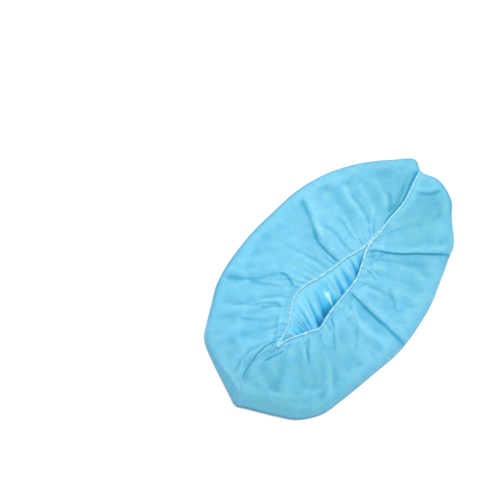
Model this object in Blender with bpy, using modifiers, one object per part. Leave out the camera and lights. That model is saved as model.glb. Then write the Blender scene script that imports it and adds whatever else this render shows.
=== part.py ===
# Disposable shoe cover, lying on its sole with the opening up.
# A thin non-woven bag is gathered by an elastic round a leaf-shaped opening,
# with a seam over the toe end and a seam down the heel end.
# Metres, +X towards the toe, +Y towards the left long side, +Z up.

import math
from collections import namedtuple

import bmesh
import bpy
from mathutils import Vector

# Outside of the bag
LENGTH = 0.3595           # heel corner to toe corner
WIDTH = 0.2165            # across the two long sides
PANEL_HEIGHT = 0.037      # crest of the upper over the ground
FABRIC_WALL = 0.001       # thickness of the non-woven wall
SOLE_ROLL = 0.007         # how far the edge rolls in before it meets the ground

# Opening in the upper
OPENING_LENGTH = 0.184    # toe end to heel end of the elastic
OPENING_WIDTH = 0.0465    # between the two sides where it gapes widest
OPENING_AHEAD = -0.0150   # middle of the opening, from the middle of the bag
OPENING_ASIDE = -0.0111   # line between its two ends, at the middle
OPENING_SKEW = 0.0064     # how much further aside the toe end lies than the heel end
RIM_DIP = 0.0035          # the elastic pulls the rim this far below the crest
RIM_FLARE = 0.0025        # the upper leaves the closed ends of the rim this far sideways
RIM_FLARE_OVER = 0.0040   # within this distance

# Elastic, seams and gathers
ELASTIC_DIAMETER = 0.0022
PINCH_GAP = 0.0010        # air between the two sides where the elastic closes up
SEAM_DIAMETER = 0.0020
HEEL_SEAM_DIAMETER = 0.0015
CLEARANCE = 0.0003        # kept between pieces that touch on the real cover
GATHER_DEPTH = 0.0026     # half the height of a gather beside the elastic
GATHER_REACH = 0.011      # how far out the gathers are deepest
GATHER_STEEPNESS = 0.20   # and half their height over their width, at most
FRILL_REACH = 0.015       # the fabric's edge stands this far into the opening
FRILL_DROP = 0.015        # and hangs this far below the rim
FRILL_LEAST = 0.35        # share of that drop where the frill is shortest
FRILL_CURL = 0.8          # under 1 it turns down sharply, over 1 gently
FRILL_WAVE = 0.0022       # half the height of the waves along its free edge

# How finely the surface is cut
COLUMNS_PER_SECTION = 4
PANEL_WAYS = (0.045, 0.10, 0.17, 0.27, 0.39, 0.52, 0.65, 0.78, 0.89, 1.0)
EDGE_TURNS = (35.0, 65.0, 90.0)
FRILL_STEPS = (1.0, 0.65, 0.32)
SOLE_SHARE = 0.50         # ring between the rolled edge and the middle of the sole
EDGE_WIDEST = 0.22        # height of the widest point, as a share of the edge height
CREST_FULLNESS = 2.1      # how long the upper stays high on its way out
FOLD_START = 0.45         # folds start this share of the gathers' reach from the rim
FOLD_FADE = 0.10          # and die out over this share of the way, at the shoulder
RIBBON_SIDES = 1          # bevel resolution of the elastic and the seams

# One row for each section through the bag, anticlockwise from the toe seam.
# out_x and out_y are shares of half the length and half the width, along is the
# share of half the opening's length, gape the share of half its width, bow the
# sideways swing of the section as a share of half the width, edge is the height of
# the bag's side as a share of the panel height, shoulder is the share of the way out
# where the upper turns down, and frill the share of the frill's full reach.
Section = namedtuple("Section", "out_x out_y along gape bow edge shoulder frill")
SECTIONS = [
    Section(0.952, 0.128, 1.000, 0.00, -0.035, 0.30, 0.93, 0.00),
    Section(1.000, 0.280, 0.985, 0.00, -0.020, 0.28, 0.93, 0.00),
    Section(0.908, 0.452, 0.930, 0.00, 0.000, 0.30, 0.92, 0.00),
    Section(0.813, 0.594, 0.850, 0.00, 0.000, 0.32, 0.92, 0.00),
    Section(0.700, 0.735, 0.770, 0.00, 0.000, 0.34, 0.92, 0.00),
    Section(0.547, 0.872, 0.685, 0.00, 0.000, 0.36, 0.92, 0.00),
    Section(0.357, 0.963, 0.560, 0.11, 0.000, 0.36, 0.92, 0.30),
    Section(0.159, 0.990, 0.405, 0.31, 0.000, 0.36, 0.92, 0.80),
    Section(0.000, 1.000, 0.230, 0.43, 0.000, 0.36, 0.92, 1.00),
    Section(-0.147, 0.986, 0.040, 0.61, 0.000, 0.36, 0.92, 1.00),
    Section(-0.311, 0.947, -0.120, 0.84, 0.000, 0.36, 0.92, 1.00),
    Section(-0.450, 0.880, -0.255, 0.96, 0.000, 0.38, 0.91, 1.00),
    Section(-0.570, 0.775, -0.385, 0.91, 0.000, 0.40, 0.90, 0.90),
    Section(-0.680, 0.672, -0.500, 0.71, 0.000, 0.44, 0.88, 0.70),
    Section(-0.768, 0.570, -0.610, 0.44, 0.000, 0.50, 0.86, 0.40),
    Section(-0.840, 0.370, -0.740, 0.17, 0.000, 0.56, 0.82, 0.10),
    Section(-0.920, 0.100, -0.930, 0.00, 0.050, 0.58, 0.80, 0.00),
    Section(-1.000, -0.125, -1.000, 0.00, 0.090, 0.58, 0.80, 0.00),
    Section(-0.945, -0.330, -0.930, 0.03, 0.050, 0.58, 0.80, 0.00),
    Section(-0.895, -0.510, -0.830, 0.20, 0.000, 0.54, 0.82, 0.05),
    Section(-0.829, -0.720, -0.720, 0.47, 0.000, 0.48, 0.85, 0.08),
    Section(-0.708, -0.868, -0.600, 0.77, 0.000, 0.42, 0.88, 0.10),
    Section(-0.564, -0.915, -0.490, 1.00, 0.000, 0.38, 0.90, 0.10),
    Section(-0.330, -0.965, -0.270, 0.87, 0.000, 0.36, 0.91, 0.10),
    Section(-0.052, -1.000, 0.000, 0.82, 0.000, 0.34, 0.92, 0.10),
    Section(0.250, -0.925, 0.270, 0.74, 0.000, 0.34, 0.92, 0.10),
    Section(0.460, -0.795, 0.460, 0.47, 0.000, 0.34, 0.92, 0.08),
    Section(0.590, -0.715, 0.620, 0.16, 0.000, 0.34, 0.92, 0.00),
    Section(0.703, -0.645, 0.740, 0.02, 0.000, 0.32, 0.92, 0.00),
    Section(0.827, -0.446, 0.850, 0.00, 0.000, 0.30, 0.92, 0.00),
    Section(0.922, -0.300, 0.930, 0.00, -0.010, 0.28, 0.93, 0.00),
    Section(0.985, -0.070, 0.985, 0.00, -0.030, 0.28, 0.93, 0.00),
]
TOE_SECTION = 0
HEEL_SECTION = 17

# One row for each place along the bag, heel to toe, where its crest changes height:
# shares of half the length and of the panel height.
Crest = namedtuple("Crest", "at_x rise")
CRESTS = [
    Crest(-1.00, 0.90),
    Crest(-0.60, 0.95),
    Crest(-0.20, 1.00),
    Crest(0.15, 0.97),
    Crest(0.40, 0.84),
    Crest(0.60, 0.72),
    Crest(1.00, 0.58),
]

# One row for each fold that stands in the upper. The three points, shares of half
# the length and half the width, are where it starts, where it bends to and where it
# ends. lift is a share of the panel height, up or down, spread a share of half the width.
Fold = namedtuple("Fold", "from_x from_y by_x by_y to_x to_y lift spread")
FOLDS = [
    Fold(0.33, 0.79, 0.19, 0.44, 0.10, 0.10, -0.18, 0.085),
    Fold(0.40, 0.79, 0.28, 0.52, 0.18, 0.20, 0.12, 0.085),
    Fold(0.11, 0.57, 0.06, 0.40, 0.02, 0.22, -0.09, 0.120),
    Fold(0.57, 0.63, 0.50, 0.38, 0.44, 0.18, 0.10, 0.075),
    Fold(0.48, 0.65, 0.42, 0.38, 0.37, 0.16, -0.08, 0.075),
    Fold(0.67, 0.49, 0.59, 0.26, 0.52, 0.10, 0.10, 0.070),
    Fold(0.75, 0.37, 0.67, 0.20, 0.59, 0.06, -0.07, 0.060),
    Fold(0.87, 0.21, 0.73, 0.08, 0.55, 0.00, -0.10, 0.055),
    Fold(-0.32, 0.91, -0.20, 0.62, -0.07, 0.34, 0.11, 0.090),
    Fold(-0.39, 0.87, -0.25, 0.48, -0.18, 0.18, -0.15, 0.085),
    Fold(-0.45, 0.47, -0.40, 0.26, -0.36, 0.14, -0.11, 0.070),
    Fold(-0.54, 0.59, -0.48, 0.34, -0.42, 0.14, 0.10, 0.080),
    Fold(-0.67, 0.23, -0.61, 0.10, -0.54, 0.03, -0.09, 0.065),
    Fold(-0.89, -0.01, -0.75, -0.05, -0.65, -0.07, -0.11, 0.060),
    Fold(-0.76, -0.23, -0.70, -0.23, -0.64, -0.22, -0.08, 0.060),
    Fold(-0.57, -0.53, -0.49, -0.41, -0.43, -0.32, -0.12, 0.065),
    Fold(-0.37, -0.59, -0.31, -0.49, -0.26, -0.40, -0.11, 0.065),
    Fold(-0.65, -0.87, -0.59, -0.76, -0.52, -0.62, 0.11, 0.075),
    Fold(-0.42, -0.87, -0.32, -0.72, -0.23, -0.58, 0.09, 0.085),
    Fold(-0.04, -0.97, -0.04, -0.64, -0.02, -0.36, -0.20, 0.075),
    Fold(-0.14, -0.91, -0.13, -0.64, -0.10, -0.40, 0.12, 0.085),
    Fold(0.10, -0.77, 0.16, -0.66, 0.18, -0.52, 0.08, 0.090),
    Fold(0.41, -0.75, 0.39, -0.64, 0.35, -0.48, 0.07, 0.090),
    Fold(0.60, -0.74, 0.41, -0.46, 0.29, -0.20, -0.18, 0.070),
    Fold(0.68, -0.67, 0.49, -0.40, 0.36, -0.19, 0.13, 0.080),
    Fold(0.88, -0.19, 0.84, -0.11, 0.78, -0.06, -0.09, 0.060),
]

HALF_LENGTH = LENGTH / 2
HALF_WIDTH = WIDTH / 2
HALF_OPENING = OPENING_LENGTH / 2
PINCH_HALF = (ELASTIC_DIAMETER + PINCH_GAP) / 2
COLUMN_COUNT = len(SECTIONS) * COLUMNS_PER_SECTION
HEEL_COLUMN = HEEL_SECTION * COLUMNS_PER_SECTION
RIM_RING = len(FRILL_STEPS)
WIDEST_RING = RIM_RING + len(PANEL_WAYS) + len(EDGE_TURNS)


def remove_everything():
    for old in list(bpy.data.objects):
        bpy.data.objects.remove(old, do_unlink=True)


def new_collection(name):
    collection = bpy.data.collections.new(name)
    bpy.context.scene.collection.children.link(collection)
    return collection


def new_material(name, color, roughness):
    material = bpy.data.materials.new(name)
    material.use_nodes = True
    shader = material.node_tree.nodes["Principled BSDF"]
    shader.inputs["Base Color"].default_value = (*color, 1.0)
    shader.inputs["Roughness"].default_value = roughness
    shader.inputs["Metallic"].default_value = 0.0
    return material


def smooth_step(value):
    value = min(1.0, max(0.0, value))
    return value * value * (3 - 2 * value)


def through(before, start, end, after, way):
    # Catmull-Rom value between start and end
    slope_in = (end - before) / 2
    slope_out = (after - start) / 2
    bend = 2 * start - 2 * end + slope_in + slope_out
    lean = -3 * start + 3 * end - 2 * slope_in - slope_out
    return ((bend * way + lean) * way + slope_in) * way + start


def section_at(column):
    # The section table read smoothly between its rows, round and round
    row = column // COLUMNS_PER_SECTION
    way = (column % COLUMNS_PER_SECTION) / COLUMNS_PER_SECTION
    near = [SECTIONS[(row + step) % len(SECTIONS)] for step in (-1, 0, 1, 2)]
    values = [through(*four, way) for four in zip(*near)]
    return Section(*values)


def outline_point(section):
    return Vector((section.out_x * HALF_LENGTH, section.out_y * HALF_WIDTH, 0.0))


def rim_side(section, column):
    # 1 on the left side of the opening and -1 on the right, easing over round its ends
    side = 1.0 if column <= HEEL_COLUMN else -1.0
    to_end = HALF_OPENING * max(0.0, 1.0 - abs(section.along))
    if to_end < PINCH_HALF:
        side *= math.sqrt(1.0 - (1.0 - to_end / PINCH_HALF) ** 2)
    return side


def rim_point(section, column):
    # Plan position of the rim: two sides of a leaf that close up at both ends
    along = min(1.0, max(-1.0, section.along))
    opened = max(0.0, section.gape) * (OPENING_WIDTH / 2 - PINCH_HALF)
    spine = OPENING_ASIDE + along * OPENING_SKEW / 2
    aside = rim_side(section, column) * (PINCH_HALF + opened)
    return Vector((OPENING_AHEAD + along * HALF_OPENING, spine + aside, 0.0))


def crest_height(spot):
    # Height of the bag's crest where the spot lies along it
    share = min(1.0, max(-1.0, spot.x / HALF_LENGTH))
    for near, far in zip(CRESTS, CRESTS[1:]):
        if share <= far.at_x:
            way = (share - near.at_x) / (far.at_x - near.at_x)
            return PANEL_HEIGHT * (near.rise + (far.rise - near.rise) * way)
    return PANEL_HEIGHT * CRESTS[-1].rise


def fold_lift(spot):
    # Sum of the folds at a plan position
    total = 0.0
    for fold in FOLDS:
        start = Vector((fold.from_x * HALF_LENGTH, fold.from_y * HALF_WIDTH, 0.0))
        by = Vector((fold.by_x * HALF_LENGTH, fold.by_y * HALF_WIDTH, 0.0))
        end = Vector((fold.to_x * HALF_LENGTH, fold.to_y * HALF_WIDTH, 0.0))
        spread = fold.spread * HALF_WIDTH
        nearest = 1.0
        for head, tail in ((start, by), (by, end)):
            line = tail - head
            way = (spot - head).dot(line) / line.length_squared
            way = min(1.0, max(0.0, way))
            away = (spot - head - line * way).length
            nearest = min(nearest, away)
        total += fold.lift * PANEL_HEIGHT * math.exp(-((nearest / spread) ** 2))
    return total


def plan_point(sections, column, way):
    # Where a point of the upper lies, seen from above
    column = column % COLUMN_COUNT
    section = sections[column]
    rim = rim_point(section, column)
    line = outline_point(section) - rim
    share = way * section.shoulder
    swing = section.bow * HALF_WIDTH * math.sin(math.pi * share) ** 2
    opening_out = min(1.0, line.length * share / RIM_FLARE_OVER) * (1.0 - way) ** 2
    swing += rim_side(section, column) * RIM_FLARE * opening_out
    return rim + line * share + Vector((0.0, swing, 0.0))


def panel_point(sections, column, way):
    # A point of the upper: way runs from the rim, 0, to the shoulder, 1
    section = sections[column]
    spot = plan_point(sections, column, way)
    low = section.edge * PANEL_HEIGHT
    height = low + (crest_height(spot) - low) * (1.0 - way ** CREST_FULLNESS)
    from_rim = (spot - rim_point(section, column)).length / GATHER_REACH
    height -= RIM_DIP * math.exp(-(from_rim ** 2))
    before = plan_point(sections, column - COLUMNS_PER_SECTION // 2, way)
    after = plan_point(sections, column + COLUMNS_PER_SECTION // 2, way)
    outward = (outline_point(section) - rim_point(section, column)).normalized()
    width = (after - before).cross(outward).length
    depth = min(GATHER_DEPTH, GATHER_STEEPNESS * width)
    turn = math.tau * column / COLUMNS_PER_SECTION
    height += depth * from_rim ** 2 * math.exp(1.0 - from_rim ** 2) * math.cos(turn)
    window = smooth_step(from_rim - FOLD_START) * smooth_step((1.0 - way) / FOLD_FADE)
    spot.z = height + fold_lift(spot) * window
    return spot


def frill_point(sections, column, step):
    # The fabric's edge beyond the rim, turned down into the opening
    section = sections[column]
    rim = panel_point(sections, column, 0.0)
    side = 1.0 if column <= HEEL_COLUMN else -1.0
    reach = FRILL_REACH * max(0.0, section.frill)
    length = FRILL_LEAST + (1.0 - FRILL_LEAST) * max(0.0, section.frill)
    turn = math.tau * column / COLUMNS_PER_SECTION
    wave = FRILL_WAVE * math.cos(turn) * step * section.frill
    spot = rim.copy()
    spot.y -= side * reach * math.sin(step * math.pi / 2)
    spot.y += side * wave
    spot.z -= FRILL_DROP * length * step ** FRILL_CURL
    spot.z += wave
    return spot


def edge_point(sections, column, turn):
    # The side of the bag, from the shoulder round to its widest point
    top = panel_point(sections, column, 1.0)
    out = outline_point(sections[column])
    angle = math.radians(turn)
    spot = top + (out - top) * math.sin(angle)
    widest = top.z * EDGE_WIDEST
    spot.z = widest + (top.z - widest) * math.cos(angle)
    return spot


def sole_point(section, share):
    # On the ground: share 1 is where the rolled edge meets it
    out = outline_point(section)
    inner = out.length - SOLE_ROLL
    return out.normalized() * inner * share


def bag_rings():
    # From the free edge of the frill, over the upper and the edge, to the sole
    columns = range(COLUMN_COUNT)
    sections = [section_at(column) for column in columns]
    rings = []
    for step in FRILL_STEPS:
        rings.append([frill_point(sections, column, step) for column in columns])
    for way in (0.0,) + PANEL_WAYS:
        rings.append([panel_point(sections, column, way) for column in columns])
    for turn in EDGE_TURNS:
        rings.append([edge_point(sections, column, turn) for column in columns])
    for share in (1.0, SOLE_SHARE):
        rings.append([sole_point(section, share) for section in sections])
    return rings


def add_object(name, mesh, material, collection):
    mesh.materials.append(material)
    piece = bpy.data.objects.new(name, mesh)
    collection.objects.link(piece)
    return piece


def make_bag(rings, material, collection):
    # Open surface, outside out, with its only edge at the frill, then a wall inwards
    net = bmesh.new()
    corners = [[net.verts.new(point) for point in ring] for ring in rings]
    for inner, outer in zip(corners, corners[1:]):
        for column in range(COLUMN_COUNT):
            after = (column + 1) % COLUMN_COUNT
            net.faces.new((inner[column], outer[column], outer[after], inner[after]))
    middle = net.verts.new((0.0, 0.0, 0.0))
    for column in range(COLUMN_COUNT):
        after = (column + 1) % COLUMN_COUNT
        net.faces.new((corners[-1][column], middle, corners[-1][after]))
    mesh = bpy.data.meshes.new("fabric_body")
    net.to_mesh(mesh)
    net.free()
    mesh.shade_smooth()
    bag = add_object("fabric_body", mesh, material, collection)
    wall = bag.modifiers.new("wall", "SOLIDIFY")
    wall.thickness = FABRIC_WALL
    wall.offset = -1.0
    wall.use_even_offset = True
    wall.use_quality_normals = True
    return bag


def make_ribbon(name, points, diameter, closed, material, collection):
    # A round edging along the points, as a curve with thickness
    curve = bpy.data.curves.new(name, "CURVE")
    curve.dimensions = "3D"
    curve.bevel_depth = diameter / 2
    curve.bevel_resolution = RIBBON_SIDES
    curve.use_fill_caps = not closed
    line = curve.splines.new("POLY")
    line.points.add(len(points) - 1)
    for spot, point in zip(line.points, points):
        spot.co = (*point, 1.0)
    line.use_cyclic_u = closed
    line.use_smooth = True
    curve.materials.append(material)
    piece = bpy.data.objects.new(name, curve)
    collection.objects.link(piece)
    return piece


def raised_line(rings, column, diameter):
    # Points over one section, lifted square off the surface by half the diameter
    points = []
    last = WIDEST_RING
    for ring in range(RIM_RING + 1, last + 1):
        here = rings[ring][column]
        ahead = rings[min(ring + 1, last)][column] - rings[ring - 1][column]
        left = rings[ring][(column + 1) % COLUMN_COUNT]
        right = rings[ring][column - 1]
        lift = ahead.cross(left - right).normalized()
        points.append(here + lift * (diameter / 2 + CLEARANCE))
    return points


def centre_on_origin(pieces):
    # The origin is under the middle of everything that is built
    shapes = bpy.context.evaluated_depsgraph_get()
    spots = []
    for piece in pieces:
        shape = piece.evaluated_get(shapes)
        spots += [vertex.co.copy() for vertex in shape.to_mesh().vertices]
        shape.to_mesh_clear()
    middle_x = (min(spot.x for spot in spots) + max(spot.x for spot in spots)) / 2
    middle_y = (min(spot.y for spot in spots) + max(spot.y for spot in spots)) / 2
    for piece in pieces:
        piece.location.x -= middle_x
        piece.location.y -= middle_y


def main():
    remove_everything()
    parts = new_collection("shoe_cover")
    fabric = new_material("light blue non-woven", (0.21, 0.62, 0.82), 0.75)
    elastic = new_material("white elastic", (0.80, 0.90, 0.93), 0.65)
    thread = new_material("white overlock thread", (0.76, 0.90, 0.95), 0.65)
    weld = new_material("welded fabric", (0.17, 0.55, 0.76), 0.70)

    rings = bag_rings()
    bag = make_bag(rings, fabric, parts)
    lift = Vector((0.0, 0.0, ELASTIC_DIAMETER / 2 + CLEARANCE))
    rim = [point + lift for point in rings[RIM_RING]]
    band = make_ribbon("opening_elastic", rim, ELASTIC_DIAMETER, True, elastic, parts)
    toe_line = raised_line(rings, TOE_SECTION * COLUMNS_PER_SECTION, SEAM_DIAMETER)
    toe = make_ribbon("toe_seam", toe_line, SEAM_DIAMETER, False, thread, parts)
    heel_line = raised_line(rings, HEEL_COLUMN, HEEL_SEAM_DIAMETER)
    heel = make_ribbon("heel_seam", heel_line, HEEL_SEAM_DIAMETER, False, weld, parts)
    centre_on_origin([bag, band, toe, heel])


main()
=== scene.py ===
import math
import random
from collections import namedtuple

import bpy
import numpy as np
from mathutils import Matrix, Vector, noise


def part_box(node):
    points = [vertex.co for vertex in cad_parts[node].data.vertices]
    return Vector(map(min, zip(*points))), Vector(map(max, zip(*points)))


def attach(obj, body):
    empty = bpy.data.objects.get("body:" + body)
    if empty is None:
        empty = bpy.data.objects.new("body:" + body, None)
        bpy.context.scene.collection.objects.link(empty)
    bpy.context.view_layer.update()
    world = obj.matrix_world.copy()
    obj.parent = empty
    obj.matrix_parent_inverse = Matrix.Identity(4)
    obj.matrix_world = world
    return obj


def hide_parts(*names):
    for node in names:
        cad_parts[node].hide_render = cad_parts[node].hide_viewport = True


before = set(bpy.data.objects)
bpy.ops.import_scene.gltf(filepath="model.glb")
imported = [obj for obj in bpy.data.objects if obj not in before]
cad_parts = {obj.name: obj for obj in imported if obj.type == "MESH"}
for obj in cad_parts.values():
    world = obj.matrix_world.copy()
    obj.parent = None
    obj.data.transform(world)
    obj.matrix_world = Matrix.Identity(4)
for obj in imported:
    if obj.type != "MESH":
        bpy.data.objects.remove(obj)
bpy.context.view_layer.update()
random.seed(4108)

# The bag of non-woven fabric
bag = {
    "length": 0.3595, "width": 0.2165, "crest": 0.037, "thickness": 0.00045,
    "openingLength": 0.184, "openingWidth": 0.0465,
    "openingAhead": -0.0150, "openingAside": -0.0111, "openingSkew": 0.0064,
    "pinchHalf": 0.00105,                      # half the gap where the two sides lie together
    "rimDip": 0.0035, "dipReach": 0.011, "rimFlare": 0.0025, "flareOver": 0.0040,
    "fullness": 1.75,                          # how far out the upper stays high
    "edgeKept": 0.54, "edgeKeptHeel": 0.70,    # share of the side's height in the table
    "bandKept": 0.45, "bandKeptHeel": 0.85,    # share of the band in which the upper turns down
    "heelFrom": 0.37, "heelOver": 0.16,        # heights of the side at which the heel's shares begin
    "bevel": 0.7, "widestAt": 0.14, "soleRoll": 0.0025,
    "leftColumns": 324, "rightColumns": 308, "crowding": 2.2,
    "upperRings": 53, "frillRings": 10, "sideRings": 6, "soleRings": 4, "ringCrowding": 1.35,
    "waveHigh": 0.6, "creaseHigh": 0.6, "creaseWide": 0.75,
    "foldStart": 0.004, "rightGathers": 0.62, "crumple": 0.0003,
    "frillGap": -0.0015, "frillRight": 0.0028, "frillDrop": 0.0125,
    "frillLean": 0.45, "leanFrom": -0.085, "leanOver": 0.04,
    "pleatApart": 0.0120, "pleatDeep": 0.0046, "pleatSwing": 0.0016,
    "smallDeep": 0.0007, "rippleDeep": 0.0011,
    "flapFrom": (-0.0227, -0.0132), "flapTo": (-0.0283, -0.0280), "flapWide": 0.0025, "flapLift": 0.0022,
    "cageColumns": 4, "cageRings": 2, "slack": 0.015, "settleFrames": 26, "settleCap": 0.003,
}

# One row for each section through the bag, anticlockwise from the toe seam, in shares
# of half the length, half the width, half the opening's length and half its width.
# bow is a sideways swing, edge the height of the side, shoulder where the upper turns
# down, frill how much of the fabric's edge hangs into the opening.
sections = [    # outX, outY, along, gape, bow, edge, shoulder, frill
    (0.960, 0.129, 1.000, 0.00, -0.035, 0.30, 0.93, 0.00),
    (1.003, 0.282, 0.985, 0.00, -0.020, 0.28, 0.93, 0.00),
    (0.910, 0.455, 0.930, 0.00, 0.000, 0.30, 0.92, 0.00),
    (0.818, 0.604, 0.850, 0.00, 0.000, 0.32, 0.92, 0.00),
    (0.705, 0.746, 0.770, 0.00, 0.000, 0.34, 0.92, 0.00),
    (0.549, 0.879, 0.685, 0.00, 0.000, 0.36, 0.92, 0.60),
    (0.358, 0.967, 0.560, 0.11, 0.000, 0.36, 0.92, 1.00),
    (0.159, 0.990, 0.405, 0.31, 0.000, 0.36, 0.92, 1.00),
    (0.000, 1.000, 0.230, 0.43, 0.000, 0.36, 0.92, 1.00),
    (-0.147, 0.986, 0.040, 0.61, 0.000, 0.36, 0.92, 1.00),
    (-0.311, 0.947, -0.120, 0.84, 0.000, 0.36, 0.92, 1.00),
    (-0.450, 0.880, -0.255, 0.96, 0.000, 0.38, 0.91, 1.00),
    (-0.570, 0.775, -0.385, 0.91, 0.000, 0.40, 0.90, 1.00),
    (-0.681, 0.676, -0.500, 0.71, 0.000, 0.40, 0.89, 0.95),
    (-0.773, 0.576, -0.610, 0.44, 0.000, 0.39, 0.90, 0.90),
    (-0.847, 0.375, -0.740, 0.17, 0.000, 0.41, 0.90, 0.60),
    (-0.956, -0.010, -0.930, 0.00, 0.050, 0.54, 0.83, 0.00),
    (-0.989, -0.142, -1.000, 0.00, 0.090, 0.58, 0.80, 0.00),
    (-0.962, -0.255, -0.930, 0.03, 0.050, 0.58, 0.80, 0.00),
    (-0.893, -0.508, -0.830, 0.20, 0.000, 0.54, 0.82, 0.05),
    (-0.824, -0.713, -0.720, 0.47, 0.000, 0.48, 0.85, 0.08),
    (-0.705, -0.858, -0.600, 0.77, 0.000, 0.42, 0.88, 0.10),
    (-0.563, -0.910, -0.490, 1.00, 0.000, 0.38, 0.90, 0.10),
    (-0.329, -0.961, -0.270, 0.87, 0.000, 0.36, 0.91, 0.10),
    (-0.052, -1.003, 0.000, 0.82, 0.000, 0.34, 0.92, 0.10),
    (0.250, -0.928, 0.270, 0.74, 0.000, 0.34, 0.92, 0.10),
    (0.462, -0.805, 0.460, 0.47, 0.000, 0.34, 0.92, 0.08),
    (0.591, -0.722, 0.620, 0.16, 0.000, 0.34, 0.92, 0.00),
    (0.703, -0.645, 0.740, 0.02, 0.000, 0.32, 0.92, 0.00),
    (0.828, -0.448, 0.850, 0.00, 0.000, 0.30, 0.92, 0.00),
    (0.927, -0.305, 0.930, 0.00, -0.010, 0.28, 0.93, 0.00),
    (0.985, -0.070, 0.985, 0.00, -0.030, 0.28, 0.93, 0.00),
]
heelSection = 17

crestTable = {                                 # share of half the length : share of the crest's height
    -1.00: 0.90, -0.60: 0.95, -0.20: 1.00, 0.15: 0.97, 0.40: 0.84, 0.60: 0.72, 1.00: 0.58,
}

# Broad waves in the upper: start, bend and end in shares of half the length and width,
# lift and spread in mm
Wave = namedtuple("Wave", "fromX fromY byX byY toX toY lift spread")
waves = [Wave(*row) for row in [
    (0.20, 0.80, 0.10, 0.50, 0.02, 0.20, -2.6, 12.0),
    (0.40, 0.79, 0.28, 0.52, 0.18, 0.20, 2.0, 11.0),
    (0.48, 0.65, 0.42, 0.38, 0.37, 0.16, -1.6, 8.0),
    (-0.30, 0.91, -0.16, 0.62, -0.06, 0.34, 2.2, 10.0),
    (-0.41, 0.87, -0.31, 0.55, -0.24, 0.22, -2.6, 9.0),
    (-0.56, 0.62, -0.48, 0.34, -0.42, 0.14, 2.0, 9.0),
    (-0.67, 0.30, -0.61, 0.12, -0.54, 0.03, -1.8, 8.0),
    (-0.72, -0.30, -0.66, -0.32, -0.58, -0.30, -3.0, 14.0),
    (-0.62, -0.84, -0.56, -0.70, -0.48, -0.56, 2.4, 9.0),
    (-0.30, -0.90, -0.24, -0.72, -0.18, -0.50, 1.8, 12.0),
    (0.06, -0.90, 0.08, -0.66, 0.10, -0.40, -1.4, 14.0),
    (0.42, -0.80, 0.36, -0.62, 0.30, -0.44, -1.6, 12.0),
    (0.74, -0.50, 0.62, -0.34, 0.50, -0.20, 1.8, 12.0),
]]

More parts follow.
